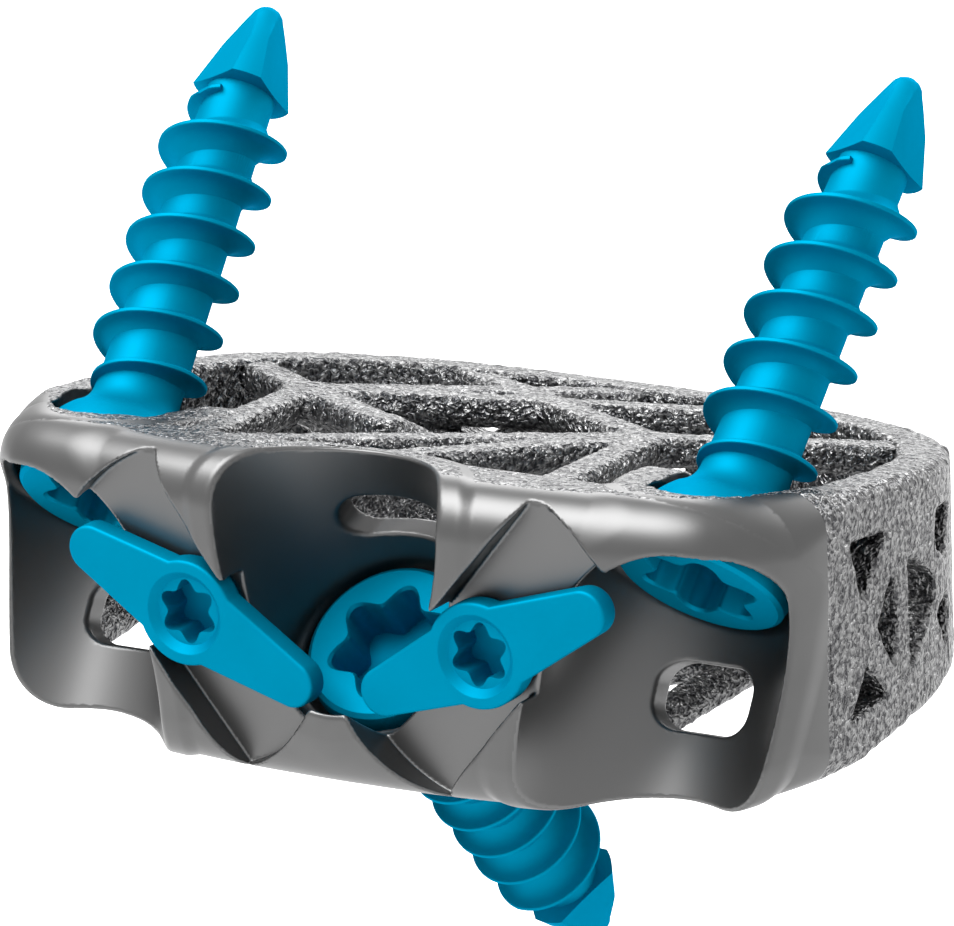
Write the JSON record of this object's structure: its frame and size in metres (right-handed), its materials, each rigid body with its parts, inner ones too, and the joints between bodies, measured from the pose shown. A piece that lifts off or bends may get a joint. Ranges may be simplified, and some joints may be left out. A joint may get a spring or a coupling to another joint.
{
  "type": "anterior spinal interbody cage with bone screws and rotary screw locks",
  "caption": "Wedge-shaped lattice cage for a spinal disc space, with angled bone screws through its front wall and turning locks that cover the screw heads.",
  "frame": {"origin": "middle of the cage body: halfway across, halfway from front to back and on its mid-plane", "axes": "+X to the right as seen from the front, +Y from the front wall to the back, +Z towards the upper end face, where the two side screws come out"},
  "size_m": [0.0358, 0.0246, 0.0366],
  "materials": {
    "cage_body": "printed titanium, satin at the front and rough elsewhere",
    "screw_left": "blue anodised titanium, satin",
    "screw_right": "blue anodised titanium, satin",
    "screw_center": "blue anodised titanium, satin",
    "lock_blade_left": "blue anodised titanium, satin",
    "lock_blade_right": "blue anodised titanium, satin",
    "retaining_ring_left": "blue anodised titanium, satin",
    "retaining_ring_right": "blue anodised titanium, satin"
  },
  "bodies": {
    "cage": {"cage_body": "cage_body", "screw_left": "screw_left", "screw_right": "screw_right", "screw_center": "screw_center"},
    "lock_left": {"lock_blade_left": "lock_blade_left", "retaining_ring_left": "retaining_ring_left"},
    "lock_right": {"lock_blade_right": "lock_blade_right", "retaining_ring_right": "retaining_ring_right"}
  },
  "joints": [
    {"name": "lock_left_turn", "type": "hinge", "parent": "cage", "child": "lock_left", "pos_m": [-0.00645, -0.0115, 0], "axis": [0, 1, 0], "range_deg": [0, 38]},
    {"name": "lock_right_turn", "type": "hinge", "parent": "cage", "child": "lock_right", "pos_m": [0.00645, -0.0115, 0], "axis": [0, -1, 0], "range_deg": [0, 38]}
  ]
}
